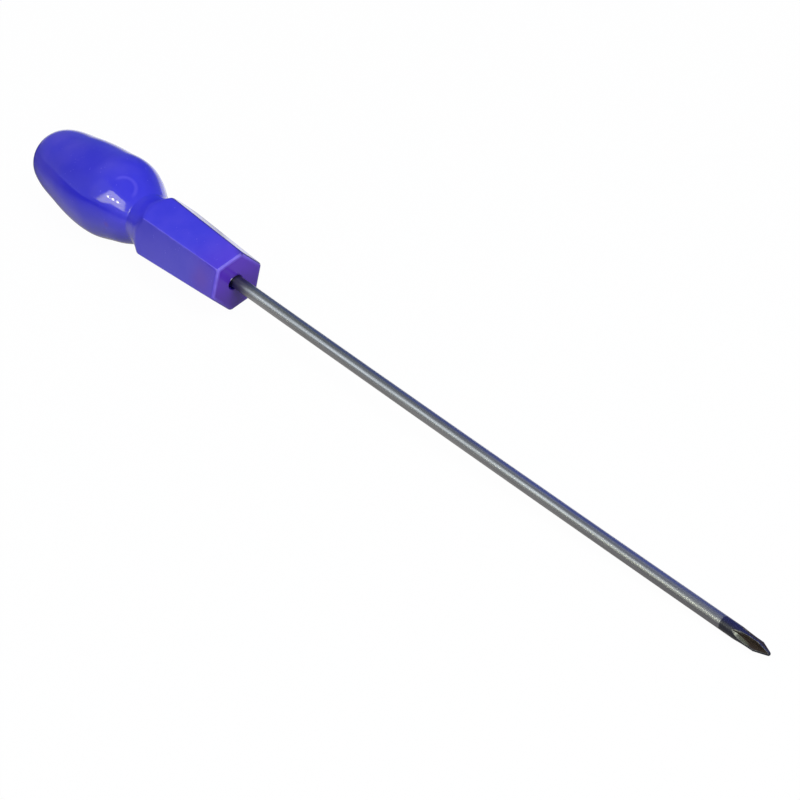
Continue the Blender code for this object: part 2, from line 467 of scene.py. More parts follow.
def press_neck(mesh, handle):
    """Presses the six flats out of the blank's neck, makes the mouth oval and leans the bulb."""
    radius, angle, depth = cylinder_coordinates(mesh)
    turned = crowd_corners(angle)
    corner = neck_corner(handle, depth)
    edge, front = handle.edge_round, handle.front_round
    groove_depth, groove_radius, _ = BULB_KNOTS[0]
    mouth_rim = handle.mouth_width + MOUTH_EDGE

    outside = (depth < groove_depth) & (radius > handle.neck_front * FLAT_SHARE)
    in_flare = outside & (depth > blank_rim_depth(handle) + TINY)
    in_neck = outside & ~in_flare & (depth > TINY)
    on_face = (depth < TINY) & (radius > mouth_rim - TINY)
    in_mouth = (depth < MOUTH_DEPTH + TINY) & (radius < mouth_rim + TINY) & (radius > TINY)

    hexagon = hexagon_radius(turned, corner * FLAT_SHARE, edge)
    inset = np.where(in_neck, corner + BLANK_SPARE - radius, 0)
    rounded = edge + (handle.corner_round - edge) * bell(depth, 0, CORNER_FADE)
    neck_hexagon = hexagon_radius(turned, corner * FLAT_SHARE - inset, rounded - INSET_ROUNDING * inset)
    face_corner = handle.corner_round - INSET_ROUNDING * front
    face_hexagon = hexagon_radius(turned, handle.neck_front * FLAT_SHARE - front, face_corner)
    face_start = handle.neck_front + BLANK_SPARE - front
    face_share = np.clip((radius - mouth_rim) / (face_start - mouth_rim), 0, 1)

    shaped = radius.copy()
    shaped[in_flare] = soft_min(radius, hexagon, FLARE_BLEND)[in_flare]
    shaped[in_neck] = neck_hexagon[in_neck]
    shaped[on_face] = (mouth_rim + (face_hexagon - mouth_rim) * face_share)[on_face]

    pressed = np.where(in_flare, smooth_step(*FLARE_PRESSED, radius - hexagon), in_neck)
    off_corner = np.abs(turned % SECTOR - SECTOR / 2) * shaped / edge
    # The edges are paler with wear and painted highlight, the far edges dark with painted shade
    ridge_wear_and_highlight, far_ridge_shade = paint_ridge_wear_and_light(turned, off_corner, pressed)
    rim_wear_and_highlight, far_rim_shade = paint_rim_wear_and_light(turned, inset / front, face_share, in_neck, on_face)
    far_rim_shade *= depth < front
    store_mask(mesh, "edge", np.maximum(ridge_wear_and_highlight, rim_wear_and_highlight * (1 - FAR_RIM_SHARE * far_rim_shade)))
    store_mask(mesh, "far_edge", np.maximum(far_ridge_shade, far_rim_shade))

    from_worn_side = turned - MOUTH_WORN_SIDE
    worn_side = in_mouth & (np.cos(from_worn_side) > 0)
    stretch = np.where(worn_side, handle.mouth_length / handle.mouth_width, 1.0)
    x = shaped * np.cos(from_worn_side) * stretch
    y = shaped * np.sin(from_worn_side)
    lean = SHOULDER_LEAN * bell(depth, *SHOULDER_PLACE) * (shaped > groove_radius / 2)
    lean += REAR_LEAN * bell(depth, *REAR_PLACE)
    place_vertices(mesh, x, y, depth, MOUTH_WORN_SIDE, lean)


def paint_ridge_wear_and_light(turned, off_corner, pressed):
    """Wear and painted highlight on the neck's long edges on the near side, and painted shade on the far
    one.
    """
    near_side = smooth_step(-0.2, 0.3, np.cos(turned - NEAR_FLAT))
    far_side = smooth_step(0.8, 0.9, np.cos(turned - FAR_RIDGE))
    near_ridge = RIDGE_WEAR_AND_HIGHLIGHT * bell(off_corner, 0, RIDGE_WIDTH) * pressed * near_side
    # Painted shade on the far ridge
    far_ridge_shade = bell(off_corner, 0, FAR_RIDGE_WIDTH) * pressed * far_side
    return near_ridge, far_ridge_shade


def paint_rim_wear_and_light(turned, over_edge, face_share, in_neck, on_face):
    """Wear and painted highlight round the front face, strongest over the rounded edge, and painted shade on
    the rim's far side.
    """
    on_edge = RIM_GROUND * smooth_step(0.0, 0.15, over_edge)
    on_edge += RIM_WEAR_AND_HIGHLIGHT * bell(over_edge, RIM_MIDDLE, RIM_WIDTH)
    beside_edge = FACE_RIM_WEAR_AND_HIGHLIGHT * smooth_step(0.95, 1.0, face_share)
    worn_side = smooth_step(-0.6, 0.9, np.cos(turned - WORN_AND_LIT_RIM_SIDE))
    rim = np.where(in_neck, on_edge, np.where(on_face, beside_edge, 0))
    rim *= LEAST_RIM_WEAR_AND_HIGHLIGHT + (1 - LEAST_RIM_WEAR_AND_HIGHLIGHT) * worn_side
    # Painted shade on the rim's far side
    far_rim_shade = in_neck * smooth_step(0.3, 0.6, np.cos(turned - FAR_SIDE))
    return rim, far_rim_shade * smooth_step(0.75, 0.35, over_edge)


# Blade

BLADE_PIECE = "blade_bar"
BLADE_STEPS = 192
BLADE_SHARP = math.radians(35)
NOSE_DOME = ((0.02 * MM, 0.5), (0.1 * MM, 0.85))
NOSE_CORNER = (0.3 * MM, 0.08 * MM)
NOSE_KEPT = 0.6
FLUTES = 4
FLUTE_SECTOR = 2 * math.pi / FLUTES
FLUTE_SPARE = 0.6 * MM
FLUTE_BLEND = 0.04 * MM
RUN_OUT_POWER = 5.0
RUN_OUT_END = 1.04
ROOT_ROUND = 0.06
EDGE_COLUMN = 0.75
TANG_LENGTH = 58 * MM
TANG_CHAMFER = 0.6 * MM
WING_SIDE = math.radians(60)
WING_SPAN = 6.2 * MM
WING_THICKNESS = 1.5 * MM
WING_START = 22 * MM
WING_END = 32 * MM
WING_ROUND = 0.25 * MM
WING_CLEAR = 0.05 * MM

# How far the tip leans to the upper side, and how far the middle of the shaft sags the other way
TIP_LEAN = 0.28 * MM
SHAFT_SAG = 0.18 * MM

# Wear and painted light on the flutes
FLUTE_DEPTH_SEEN = (0.02 * MM, 0.10 * MM)
EDGE_WEAR_WIDTH = 0.12 * MM
OTHER_FLUTES_WEAR = 0.35
RUN_OUT_EDGE_WEAR = 0.6
LIT_WALL_START, LIT_WALL_RISE = 0.86, 0.40


def blade_outline(blade):
    """The turned bar from its nose to the end of its tang."""
    radius, tip = blade.radius, -blade.reach
    nose_end = tip + blade.nose_length
    flute_end = tip + blade.flute_length + FLUTE_SPARE
    points = [(tip, 0)]
    points += [(tip + depth, share * blade.nose_radius) for depth, share in NOSE_DOME]
    nose_start = (tip + NOSE_CORNER[0], blade.nose_radius + NOSE_CORNER[1])
    points += line(nose_start, (nose_end, radius), count=50)
    points += line((nose_end, radius), (flute_end, radius), count=80)
    points += line((flute_end, radius), (0, radius), count=10)
    points += line((0, radius), (WING_START, radius), count=2)
    points += line((WING_START, radius), (WING_END, radius), count=40)
    points += [(WING_END, radius), (TANG_LENGTH - TANG_CHAMFER, radius)]
    points += [(TANG_LENGTH, radius - TANG_CHAMFER), (TANG_LENGTH, 0)]
    return points


def mill_flutes(mesh, blade):
    """Mills four flutes into the nose, pulls the two wings out of the tang and bows the shaft."""
    radius, angle, depth = cylinder_coordinates(mesh)
    whole = np.floor(angle / FLUTE_SECTOR)
    off_middle = angle - (whole + 0.5) * FLUTE_SECTOR
    run = np.clip((depth + blade.reach) / blade.flute_length, 0, None)
    root = blade.flute_root + (blade.radius - blade.flute_root) * run**RUN_OUT_POWER

    # Columns of vertices are moved on to the edges of the flutes, which keeps these edges crisp
    depth_share = root / np.maximum(radius, 10 * TINY)
    slant = np.arccos(np.clip(depth_share / math.sqrt(2), 0, math.sqrt(0.5))) - math.pi / 4
    flute_edge = np.sqrt((slant + ROOT_ROUND) ** 2 - ROOT_ROUND**2)
    even_edge = EDGE_COLUMN * FLUTE_SECTOR / 2
    flute_edge += (even_edge - flute_edge) * smooth_step(0.75, 0.98, depth_share)
    off = np.abs(off_middle)
    inside = off / even_edge * flute_edge
    past_edge = (off - even_edge) / (FLUTE_SECTOR / 2 - even_edge)
    outside = flute_edge + past_edge * (FLUTE_SECTOR / 2 - flute_edge)
    off = np.where(off < even_edge, inside, outside)
    turned = (whole + 0.5) * FLUTE_SECTOR + np.sign(off_middle) * off + blade.tip_roll

    slant = np.sqrt(off**2 + ROOT_ROUND**2) - ROOT_ROUND
    flute_floor = root / np.clip(math.sqrt(2) * np.cos(slant + math.pi / 4), 0.02, None)
    milled = (run < RUN_OUT_END) & (radius > NOSE_KEPT * blade.nose_radius)
    shaped = np.where(milled, soft_min(radius, flute_floor, FLUTE_BLEND), radius)
    cut = np.where(milled, radius - flute_floor, 0)
    wear = np.where(whole == 0, 1.0, OTHER_FLUTES_WEAR)
    store_mask(mesh, "edge", bell(cut, 0, EDGE_WEAR_WIDTH) * milled * wear)
    store_flute_masks(mesh, cut, off / flute_edge, off_middle, run, wear)

    x = shaped * np.cos(turned - WING_SIDE)
    y = shaped * np.sin(turned - WING_SIDE)
    share = np.clip(-depth / blade.reach, 0, 1)
    lean = TIP_LEAN * share * (2 * share - 1) - 4 * SHAFT_SAG * share * (1 - share)
    place_vertices(mesh, pull_wings(x, y, depth), y, depth, WING_SIDE, lean)


def store_flute_masks(mesh, cut, across, off_middle, run, wear):
    """Keeps where the flutes are, where they run out and their walls are worn, and where their lower walls
    get painted light.
    """
    in_flute = smooth_step(*FLUTE_DEPTH_SEEN, cut)
    lower_wall = smooth_step(-0.02, 0.06, off_middle)
    near_edge = RUN_OUT_EDGE_WEAR * smooth_step(0.45, 0.95, across)
    fleck = np.maximum(near_edge * smooth_step(0.70, 0.86, run), lower_wall * smooth_step(0.82, 0.92, run))
    lit_wall_start = LIT_WALL_START - LIT_WALL_RISE * np.clip(across, 0, 1)
    store_mask(mesh, "flute", in_flute)
    store_mask(mesh, "run_out", in_flute * wear * fleck)
    # Painted light on the lower walls, past where it starts
    store_mask(mesh, "wall", in_flute * lower_wall * wear * smooth_step(-0.04, 0.08, run - lit_wall_start))


def pull_wings(x, y, depth):
    """The new x of the tang's vertices, with the wings pulled out to both sides."""
    half = WING_THICKNESS / 2
    in_wings = (depth > WING_START + WING_CLEAR) & (depth < WING_END - WING_CLEAR)
    rounding = WING_ROUND * smooth_step(half / 2, half, np.abs(y))
    return np.where(in_wings & (np.abs(y) < half), np.sign(x) * (WING_SPAN / 2 - rounding), x)


# Materials


class Nodes:
    """Short words for building a node tree."""

    def __init__(self, tree):
        self.tree = tree

    def add(self, kind, inputs=None, **settings):
        node = self.tree.nodes.new(kind)
        for name, value in settings.items():
            setattr(node, name, value)
        for name, value in (inputs or {}).items():
            self.feed(node.inputs[name], value)
        return node

    def feed(self, socket, value):
        if isinstance(value, bpy.types.NodeSocket):
            self.tree.links.new(value, socket)
        else:
            socket.default_value = value

    def math(self, operation, first, second=0.0):
        return self.add("ShaderNodeMath", {0: first, 1: second}, operation=operation).outputs[0]

    plus = partialmethod(math, "ADD")
    minus = partialmethod(math, "SUBTRACT")
    times = partialmethod(math, "MULTIPLY")
    larger = partialmethod(math, "MAXIMUM")
    smaller = partialmethod(math, "MINIMUM")

    def off(self, value, middle):
        """How far a value is from the middle, on either side."""
        return self.math("ABSOLUTE", self.minus(value, middle))

    def vector_math(self, operation, vector, fixed):
        return self.add("ShaderNodeVectorMath", {0: vector, 1: fixed}, operation=operation).outputs["Value"]

    def split(self, vector):
        return self.add("ShaderNodeSeparateXYZ", {"Vector": vector}).outputs

    def attribute(self, name):
        return self.add("ShaderNodeAttribute", attribute_name=name).outputs["Fac"]

    def ramp(self, value, low, high, to_low=0.0, to_high=1.0):
        inputs = {"Value": value, "From Min": low, "From Max": high, "To Min": to_low, "To Max": to_high}
        return self.add("ShaderNodeMapRange", inputs, interpolation_type="SMOOTHSTEP").outputs[0]

    def blend(self, share, first, second, mode="MIX"):
        inputs = {"Factor": share, "A": first, "B": second}
        return self.add("ShaderNodeMix", inputs, data_type="RGBA", blend_type=mode).outputs["Result"]

    def tinted(self, colour, tint):
        return self.blend(1.0, colour, tint, "MULTIPLY")

    def noise(self, vector, scale, detail=2.0, roughness=0.5):
        inputs = {"Vector": vector, "Scale": scale, "Detail": detail, "Roughness": roughness}
        return self.add("ShaderNodeTexNoise", inputs).outputs["Fac"]

    def stretched(self, vector, scale):
        return self.add("ShaderNodeMapping", {"Vector": vector, "Scale": scale}).outputs[0]

    def show(self, kind, share, first, second):
        """Mixes two shaders by the share and puts the result out."""
        inputs = {"Fac": share, 1: first.outputs[0], 2: second.outputs[0]}
        mixed = self.add("ShaderNodeMixShader", inputs)
        self.add(kind, {"Surface": mixed.outputs[0]})


def opaque(colour):
    return (*colour, 1.0)


def scaled(colour, share):
    return [share * part for part in colour]


def new_material(name):
    """A node material with its Principled shader, and the place on the tool in the tool's own space."""
    material = bpy.data.materials.new(name)
    material.use_nodes = True
    nodes = Nodes(material.node_tree)
    shader = material.node_tree.nodes["Principled BSDF"]
    coordinates = nodes.add("ShaderNodeTexCoord").outputs["Object"]
    in_tool = nodes.add("ShaderNodeMapping", {"Vector": coordinates}, vector_type="TEXTURE")
    in_tool.inputs["Location"].default_value = POSE.translation
    in_tool.inputs["Rotation"].default_value = POSE.to_euler()
    return material, nodes, shader, in_tool.outputs[0]


# Stretches of the scratches' noise, lengthwise and, after a turn, crosswise
LENGTHWISE = (2600, 2600, 90)
CROSSWISE = (120, 2400, 1900)
CROSSWISE_TURN = (0.5, 0.3, 0.9)


def rub_marks_group():
    """Fine scratches, specks and broad dull patches, shared by the plastic and the steel."""
    tree = bpy.data.node_groups.new("Rub marks", "ShaderNodeTree")
    tree.interface.new_socket("Vector", in_out="INPUT", socket_type="NodeSocketVector")
    tree.interface.new_socket("Specks per metre", in_out="INPUT", socket_type="NodeSocketFloat")
    for name in ("Scratches", "Specks", "Patches"):
        tree.interface.new_socket(name, in_out="OUTPUT", socket_type="NodeSocketFloat")
    nodes = Nodes(tree)
    start = nodes.add("NodeGroupInput").outputs
    end = nodes.add("NodeGroupOutput").inputs
    place = start["Vector"]
    lengthwise = nodes.noise(nodes.stretched(place, LENGTHWISE), scale=1.0)
    slanted = nodes.add("ShaderNodeMapping", {"Vector": place, "Rotation": CROSSWISE_TURN}).outputs[0]
    crosswise = nodes.noise(nodes.stretched(slanted, CROSSWISE), scale=1.0)
    scratched = nodes.ramp(nodes.noise(place, scale=70.0, detail=3.0), 0.45, 0.7)
    scratches = nodes.larger(nodes.ramp(lengthwise, 0.66, 0.76), nodes.ramp(crosswise, 0.68, 0.78))
    dots = nodes.add("ShaderNodeTexVoronoi", {"Vector": place, "Scale": start["Specks per metre"]})
    specks = nodes.ramp(dots.outputs["Distance"], 0.10, 0.22, 1.0, 0.0)
    specked = nodes.ramp(nodes.noise(place, scale=330.0), 0.52, 0.68)
    patches = nodes.ramp(nodes.noise(place, scale=38.0, detail=4.0), 0.38, 0.66)
    nodes.feed(end["Scratches"], nodes.times(scratches, scratched))
    nodes.feed(end["Specks"], nodes.times(specks, specked))
    nodes.feed(end["Patches"], patches)
    return tree


def rub_marks(nodes, vector, specks_per_metre):
    """Places the shared group in a material."""
    tree = bpy.data.node_groups.get("Rub marks") or rub_marks_group()
    group = nodes.add("ShaderNodeGroup", node_tree=tree)
    nodes.feed(group.inputs["Vector"], vector)
    group.inputs["Specks per metre"].default_value = specks_per_metre
    return group.outputs


# Zones of the plastic in the tool's own space, for its painted shade and its redder front, each from where
# it starts to where it is full
BULB_ZONE = (-71 * MM, -57 * MM)
LOWER_BULB_ZONE = (8 * MM, 13 * MM)
NECK_ZONE = (-47 * MM, -41 * MM)
RIDGE_ZONE = (-0.3 * MM, 0.3 * MM)
REDDER_ZONE = (-20 * MM, 0.0)
FACE_ZONE = (-0.35 * MM, -0.05 * MM)
UPPER_FACE_ZONE = (-8 * MM, 7 * MM)
CLOUDINESS = 0.1
LOW_FRONT_PAINTED_SHADE = 0.57
# Tint of the painted shade on the plastic
PLASTIC_PAINTED_SHADE = (1.0, 1.0, 0.87, 1.0)
# Colour of the painted shade on the far edges
FAR_EDGE_PAINTED_SHADE = (0.012, 0.010, 0.13, 1.0)
PLASTIC_ROUGHNESS = (0.06, 0.10)
SCRATCH_ROUGHNESS = 0.14
RUBBED_ROUGHNESS = 0.3
PLASTIC_IOR = 1.5

# Hand-worn stains on the plastic: place in the tool's own space, reach, strength
SMUDGES = (
    ((2.5 * MM, 12.2 * MM, -58.0 * MM), 1.6 * MM, 0.5),
    ((4.0 * MM, 8.5 * MM, -7.5 * MM), 6.5 * MM, 0.42),
)
# Place and reach of the painted glint on the mouth's rim
GLINT_PLACE = (2.0 * MM, 1.47 * MM, -0.1 * MM)
GLINT_REACH = 0.7 * MM
# A faint pale arc on the bulb: centre, radius, width and fade
PALE_ARC_CENTRE = (11.0 * MM, 2.0 * MM, -57.6 * MM)
PALE_ARC_RADIUS = 4.5 * MM
PALE_ARC_WIDTH = 1.0 * MM
PALE_ARC_FADE = (0.0, 2.5 * MM, 0.13, 0.0)


def moulded_and_shaded_colour(nodes, place, handle):
    """The plastic's colour: cloudy, a little duller with painted shade on the bulb's rear, except low down,
    and on the neck below its near ridge, redder towards the front face, and with painted shade low on the
    front face.
    """
    position = nodes.split(place)
    along = position["Z"]
    edge_tint = scaled(handle.edge_wear_and_highlight_colour, CLOUDINESS)
    cloudy = [part + tint for part, tint in zip(scaled(handle.colour, 1 - CLOUDINESS), edge_tint)]
    clouds = nodes.ramp(nodes.noise(place, scale=45.0, detail=4.0), 0.35, 0.7)
    colour = nodes.blend(clouds, opaque(handle.colour), opaque(cloudy))

    # Painted shade: the neck below its near ridge and the bulb's rear, except low down, are painted duller
    across_ridge = nodes.times(position["Y"], math.cos(NEAR_RIDGE))
    off_ridge = nodes.minus(across_ridge, nodes.times(position["X"], math.sin(NEAR_RIDGE)))
    below_ridge = nodes.times(nodes.ramp(off_ridge, *RIDGE_ZONE), nodes.ramp(along, *NECK_ZONE))
    bright = nodes.larger(nodes.ramp(along, *BULB_ZONE), nodes.ramp(position["Y"], *LOWER_BULB_ZONE))
    bright = nodes.minus(bright, below_ridge)
    colour = nodes.blend(bright, nodes.tinted(colour, PLASTIC_PAINTED_SHADE), colour)

    # Painted shade: the front face is darker towards its bottom
    front = opaque(handle.front_colour)
    low_front = opaque(scaled(handle.front_colour, LOW_FRONT_PAINTED_SHADE))
    face = nodes.blend(nodes.ramp(position["X"], *UPPER_FACE_ZONE), low_front, front)
    colour = nodes.blend(nodes.ramp(along, *REDDER_ZONE, 0.0, 0.35), colour, front)
    return nodes.blend(nodes.ramp(along, *FACE_ZONE), colour, face)


def worn_and_painted_light_colour(nodes, place, handle, colour, edge, specks):
    """The colour after use, with painted light: smudges, a faint pale arc, edges paler with wear and painted
    highlight, far edges dark with painted shade, and a painted glint in the mouth.
    """

    def distance(centre):
        return nodes.vector_math("DISTANCE", place, centre)

    for centre, reach, strength in SMUDGES:
        cloud = nodes.times(nodes.noise(place, 0.9 / reach, detail=3.0), 0.6 * reach)
        off_centre = nodes.plus(distance(centre), cloud)
        smudge = nodes.ramp(off_centre, 0.4 * reach, 1.3 * reach, strength, 0.0)
        colour = nodes.blend(smudge, colour, opaque(handle.smudge_colour))
    # A faint pale arc, fading towards the lower side
    pale_arc = nodes.ramp(nodes.off(distance(PALE_ARC_CENTRE), PALE_ARC_RADIUS), 0.0, PALE_ARC_WIDTH, 1.0, 0.0)
    pale_arc = nodes.times(pale_arc, nodes.ramp(nodes.split(place)["Y"], *PALE_ARC_FADE))
    uneven = nodes.ramp(nodes.noise(place, scale=260.0, detail=3.0), 0.3, 0.7, 0.5, 0.95)
    # The edges are paler with wear and painted highlight; the specks and the pale arc are paler too
    lightened = nodes.larger(nodes.times(edge, uneven), nodes.larger(pale_arc, nodes.times(specks, 0.25)))
    colour = nodes.blend(lightened, colour, opaque(handle.edge_wear_and_highlight_colour))
    # Painted shade: the far edges are dark navy
    colour = nodes.blend(nodes.times(nodes.attribute("far_edge"), 0.85), colour, FAR_EDGE_PAINTED_SHADE)
    # Painted glint on the mouth's rim
    glint = nodes.ramp(distance(GLINT_PLACE), 0.75 * GLINT_REACH, GLINT_REACH, 1.0, 0.0)
    return nodes.blend(glint, colour, opaque(handle.glint_colour))


def handle_plastic(handle):
    """Glossy blue-violet plastic, a little cloudy, with painted shade, paler on its edges with wear and
    painted highlight, and more purple in front.
    """
    material, nodes, shader, place = new_material("handle_plastic")
    marks = rub_marks(nodes, place, specks_per_metre=900.0)
    edge = nodes.attribute("edge")
    colour = moulded_and_shaded_colour(nodes, place, handle)
    colour = worn_and_painted_light_colour(nodes, place, handle, colour, edge, marks["Specks"])
    nodes.feed(shader.inputs["Base Color"], colour)

    rough = nodes.ramp(marks["Patches"], 0.0, 1.0, *PLASTIC_ROUGHNESS)
    rough = nodes.plus(rough, nodes.times(marks["Scratches"], SCRATCH_ROUGHNESS))
    rough = nodes.plus(rough, nodes.ramp(edge, 0.02, 0.25, 0.0, RUBBED_ROUGHNESS))
    nodes.feed(shader.inputs["Roughness"], rough)
    skin = nodes.times(nodes.noise(place, scale=420.0), 0.35)
    height = nodes.plus(skin, nodes.times(marks["Scratches"], -0.5))
    bump = nodes.add("ShaderNodeBump", {"Height": height, "Strength": 0.25, "Distance": 0.02 * MM})
    nodes.feed(shader.inputs["Normal"], bump.outputs[0])
    shader.inputs["IOR"].default_value = PLASTIC_IOR
    return material


# Zones of the steel, along the blade or up to its upper side, for its painted shade, painted reflection and
# polish, each from where it starts to where it is full
TIP_SHADE_ZONE = (0.13, 0.24)
BLUE_REFLECTION_ZONE = (0.03, 0.15)
LIT_ZONE = (3 * MM, 14 * MM)
POLISH_START = (0.01, 0.06)
POLISH_END = (0.17, 0.23)
UPPER_ZONE = (0.0, 1.3 * MM)
TIP_SHADE_SHIFT = 0.05
BLACK_WANDER = 1.2 * MM
BLACK_BLUR = 0.25 * MM
DRAWN_LINES = (1700, 1700, 30)
STEEL_ROUGHNESS = (0.32, 0.40)
PATCH_ROUGHNESS = 0.04
POLISH = 0.09
BLACK_METALLIC = 0.35
BLACK_SPECULAR = 0.38

# Tints that multiply the colour of the steel: painted reflection on its upper side, painted shade near the
# handle, and its dark lines
UPPER_REFLECTION_TINT = (0.95, 1.0, 0.85, 1.0)
UPPER_BLUE_REFLECTION_TINT = (1.04, 1.06, 1.26, 1.0)
# Tint of the painted shade next to the handle
NEAR_HANDLE_PAINTED_SHADE = (0.5, 0.5, 0.52, 1.0)
DARK_LINE_TINT = (0.55, 0.55, 0.55, 1.0)


def drawn_and_shaded_colour(nodes, along, upper, lines, grain, blade):
    """The shaft's colour: painted shade towards the tip, a painted blue reflection above, painted shade by
    the handle, and fine lines.
    """
    # Painted shade: darker towards the tip, starting further on along the upper side
    tip_shade = nodes.ramp(nodes.minus(along, nodes.times(upper, TIP_SHADE_SHIFT)), *TIP_SHADE_ZONE)
    colour = nodes.blend(tip_shade, opaque(blade.steel_colour), opaque(blade.tip_shade_colour))
    # Painted reflection: the upper side is tinted, bluer away from the handle
    tint = nodes.blend(nodes.ramp(along, *BLUE_REFLECTION_ZONE), UPPER_REFLECTION_TINT, UPPER_BLUE_REFLECTION_TINT)
    colour = nodes.blend(upper, colour, nodes.tinted(colour, tint))
    # Painted shade: the steel is darker next to the handle
    colour = nodes.blend(nodes.ramp(along, *LIT_ZONE), nodes.tinted(colour, NEAR_HANDLE_PAINTED_SHADE), colour)
    dark = nodes.tinted(colour, DARK_LINE_TINT)
    colour = nodes.blend(nodes.ramp(lines, 0.35, 0.68, 0.0, 0.55), colour, dark)
    return nodes.blend(nodes.ramp(grain, 0.5, 0.72, 0.0, 0.2), colour, dark)


def blackened(nodes, place, along, upper, colour, blade):
    """The colour with the black finish on the tip, bluer on its upper side with painted reflection, with
    painted light on the flutes' lower walls, and where that finish isn't worn through.
    """
    wander = nodes.times(nodes.noise(place, scale=500.0, detail=3.0), BLACK_WANDER)
    start = blade.reach - blade.black_length + BLACK_WANDER / 2
    black = nodes.ramp(nodes.plus(along, wander), start - BLACK_BLUR, start + BLACK_BLUR)
    blotch = nodes.noise(place, scale=900.0, detail=3.0)
    worn_edge = nodes.times(nodes.attribute("edge"), nodes.ramp(blotch, 0.38, 0.62, 0.15, 0.85))
    worn_end = nodes.times(nodes.attribute("run_out"), nodes.ramp(blotch, 0.35, 0.6, 0.35, 1.0))
    worn = nodes.larger(worn_edge, worn_end)
    kept = nodes.times(black, nodes.minus(1.0, worn))
    # Painted reflection: the black finish is bluer on the upper side
    finish = nodes.blend(upper, opaque(blade.black_colour), opaque(blade.upper_reflection_colour))
    finish = nodes.blend(nodes.attribute("flute"), finish, opaque(blade.flute_colour))
    # Painted light on the flutes' lower walls
    finish = nodes.blend(nodes.attribute("wall"), finish, opaque(blade.wall_light_colour))
    colour = nodes.blend(nodes.times(worn, black), colour, opaque(blade.worn_colour))
    return nodes.blend(kept, colour, finish), kept


def blade_steel(blade):
    """Drawn steel with fine lengthwise lines and specks, with painted shade and a painted blue reflection
    above, blackened at the tip and worn on its edges.
    """
    material, nodes, shader, place = new_material("blade_steel")
    position = nodes.split(place)
    along = position["Z"]
    # The upper side, which gets the painted reflection
    up_x = nodes.times(position["X"], math.cos(UPPER_SIDE))
    up_y = nodes.times(position["Y"], math.sin(UPPER_SIDE))
    upper = nodes.ramp(nodes.plus(up_x, up_y), *UPPER_ZONE)
    marks = rub_marks(nodes, place, specks_per_metre=1500.0)
    lines = nodes.noise(nodes.stretched(place, DRAWN_LINES), scale=1.0, detail=3.0, roughness=0.6)
    grain = nodes.noise(place, scale=1900.0, roughness=0.6)
    colour = drawn_and_shaded_colour(nodes, along, upper, lines, grain, blade)
    colour, black = blackened(nodes, place, along, upper, colour, blade)
    nodes.feed(shader.inputs["Base Color"], colour)

    polished = nodes.times(nodes.ramp(along, *POLISH_START), nodes.ramp(along, *POLISH_END, 1.0, 0.0))
    rough = nodes.ramp(lines, 0.3, 0.7, *STEEL_ROUGHNESS)
    rough = nodes.plus(rough, nodes.times(marks["Patches"], PATCH_ROUGHNESS))
    nodes.feed(shader.inputs["Roughness"], nodes.minus(rough, nodes.times(polished, POLISH)))
    nodes.feed(shader.inputs["Metallic"], nodes.ramp(black, 0.0, 1.0, 1.0, BLACK_METALLIC))
    shader.inputs["Specular IOR Level"].default_value = BLACK_SPECULAR
    height = nodes.plus(nodes.times(lines, 0.6), nodes.times(grain, 0.06))
    height = nodes.minus(height, nodes.times(marks["Specks"], 0.1))
    bump = nodes.add("ShaderNodeBump", {"Height": height, "Strength": 0.06, "Distance": 0.01 * MM})
    nodes.feed(shader.inputs["Normal"], bump.outputs[0])
    return material


# Stage

# Painted pool of light, painted shadow and painted brightness that glossy surfaces mirror in the floor: from
# and to along one axis of the frame, and the values there
PAINTED_POOL_REAR = (-0.245, -0.115, 0.15, 0.96)
PAINTED_POOL_FRONT = (-0.10, -0.045, 0.0, 0.35)
PAINTED_POOL_NEAR = (-0.24, -0.09, 0.45, 1.0)
PAINTED_SHADOW_SIDE = (-0.022, -0.008, 0.0, 1.0)
PAINTED_SHADOW_END = (-0.128, -0.118, 0.5, 0.0)
BEHIND = (0.029, 0.048, 0.0, 1.0)
BEHIND_END = (-0.45, -0.16, 0.7, 1.4)
NEUTRAL_BEHIND = (0.02, 0.03)
FLOOR_TINT = (1.0, 0.955, 0.92, 1.0)
WHITE = (1.0, 1.0, 1.0, 1.0)
SEEN_WHITE = 1.03
GLOW_SHARE = 0.95

# Darker or bluer sides of the room: direction, where it starts and is full, colour
ROOM_COLOUR = (0.52, 0.54, 0.57, 1.0)
ROOM_SIDES = (
    ((0.5, 0.85, 0.2), 0.6, 0.92, (0.30, 0.32, 0.31, 1.0)),
    ((-0.66, 0.64, 0.40), 0.74, 0.97, (0.17, 0.22, 0.60, 1.0)),
    ((-0.95, -0.05, 0.30), 0.74, 0.96, (0.24, 0.25, 0.30, 1.0)),
)

# The window that both pieces mirror, and the colour of its light on each
WINDOW_SIZE = (0.66, 0.80)
WINDOW_DISTANCE = 0.9
WINDOW_TARGET = -51 * MM
WINDOW_RISE = 0.24
WINDOW_BACK = 0.09
WINDOW_COLOUR = (1.0, 0.96, 0.45)
PANE_COLOUR = (1.0, 1.0, 0.66)

# The window's glowing part, in metres from its middle, with how far each side leans
WINDOW_LEFT, WINDOW_LEFT_LEAN = -0.143, 0.27
WINDOW_RIGHT = 0.25
WINDOW_TOP, WINDOW_TOP_LEAN = 0.275, 0.69
WINDOW_BOTTOM, WINDOW_BOTTOM_LEAN = -0.212, 0.9
WINDOW_BLUR = 0.025
WINDOW_GLOW = 0.76
WINDOW_FRAME_GLOW = 0.045
WINDOW_SPOTS = (((-0.066, -0.03), 6.5), ((0.03, -0.005), 8.0), ((0.118, 0.032), 7.0))
SPOT_CORE, SPOT_REACH = 0.012, 0.044
SPOT_SQUEEZE = 1.9

